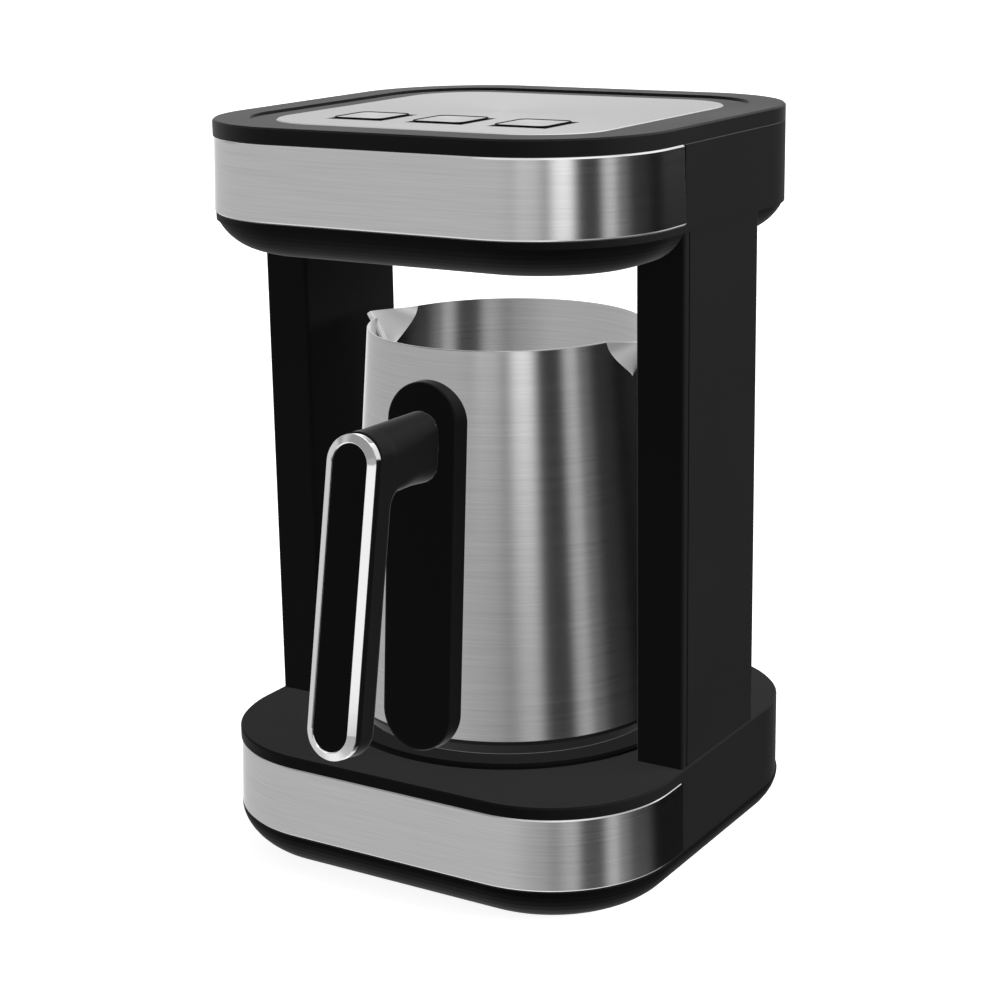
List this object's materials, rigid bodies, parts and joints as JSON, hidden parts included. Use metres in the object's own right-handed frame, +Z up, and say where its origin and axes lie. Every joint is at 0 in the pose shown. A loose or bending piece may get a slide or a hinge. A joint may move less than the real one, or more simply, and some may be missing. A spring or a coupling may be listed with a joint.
{
  "type": "turkish coffee maker",
  "caption": "Electric Turkish coffee maker: steel-banded base and head on side columns, square keys on top, and a tapered spouted pot with a long upright grip.",
  "frame": {"origin": "on the table, halfway between the front of the grip and the back of the cord gland", "axes": "+Z up, -Y to the front where the grip points, +X to the right column as seen from the front"},
  "size_m": [0.171, 0.2026, 0.2635],
  "materials": {
    "housing": "fine satin moulding",
    "column": "fine satin moulding",
    "band": "grain running round the body",
    "panel": "fine satin grain, side to side",
    "key": "satin plated cap",
    "rubber_foot": "matt",
    "seat": "satin",
    "connector": "plain",
    "contact": "plated",
    "fastener": "zinc plated",
    "board": "lacquered laminate",
    "relay_case": "moulded",
    "coil": "taped winding",
    "capacitor": "sleeved",
    "gland": "matt",
    "loom": "sleeved wires",
    "lens": "dark clear lens",
    "pot_steel": "grain running round the pot",
    "pot_base": "satin",
    "heater": "as cast",
    "heater_sheath": "oxidised sheath",
    "ceramic": "ceramic body",
    "handle": "satin",
    "trim": "polished",
    "inlay": "satin"
  },
  "bodies": {
    "machine": {"base_tray": "housing", "base_cover": "housing", "base_band": "band", "feet": "rubber_foot", "base_screws": "fastener", "pot_seat": "seat", "contact_block": "connector", "contact_pins": "contact", "power_board": "board", "relay": "relay_case", "transformer": "coil", "capacitors": "capacitor", "power_board_screws": "fastener", "cord_gland": "gland", "column_left": "column", "column_right": "column", "column_cover_left": "column", "column_cover_right": "column", "tie_rods": "fastener", "tie_nuts": "fastener", "wire_loom": "loom", "head_shell": "housing", "head_band": "band", "head_bowl": "housing", "bowl_screws": "fastener", "sensor_window": "lens", "sensor_board": "board", "sensor_diodes": "lens", "top_frame": "housing", "control_panel": "panel", "control_board": "board", "board_nuts": "fastener", "switch_bodies": "connector", "buzzer": "connector", "controller_chip": "connector"},
    "pot": {"pot_body": "pot_steel", "spout_left": "pot_steel", "spout_right": "pot_steel", "pot_foot": "pot_base", "heater_plate": "heater", "heater_tube": "heater_sheath", "thermostat": "ceramic", "pot_contacts": "contact", "pot_screws": "fastener", "handle_bracket": "fastener", "handle_plate": "handle", "handle_grip": "handle", "grip_trim": "trim", "grip_inlay": "inlay", "handle_screw": "fastener"},
    "left_key": {"key_left": "key", "plunger_left": "connector"},
    "middle_key": {"key_middle": "key", "plunger_middle": "connector"},
    "right_key": {"key_right": "key", "plunger_right": "connector"}
  },
  "joints": [
    {"name": "pot_pull", "type": "slide", "parent": "machine", "child": "pot", "axis": [0, -1, 0], "range_m": [0, 0.16]},
    {"name": "left_press", "type": "slide", "parent": "machine", "child": "left_key", "axis": [0, 0, -1], "range_m": [0, 0.0012], "stiffness_N_per_m": 900},
    {"name": "middle_press", "type": "slide", "parent": "machine", "child": "middle_key", "axis": [0, 0, -1], "range_m": [0, 0.0012], "stiffness_N_per_m": 900},
    {"name": "right_press", "type": "slide", "parent": "machine", "child": "right_key", "axis": [0, 0, -1], "range_m": [0, 0.0012], "stiffness_N_per_m": 900}
  ]
}
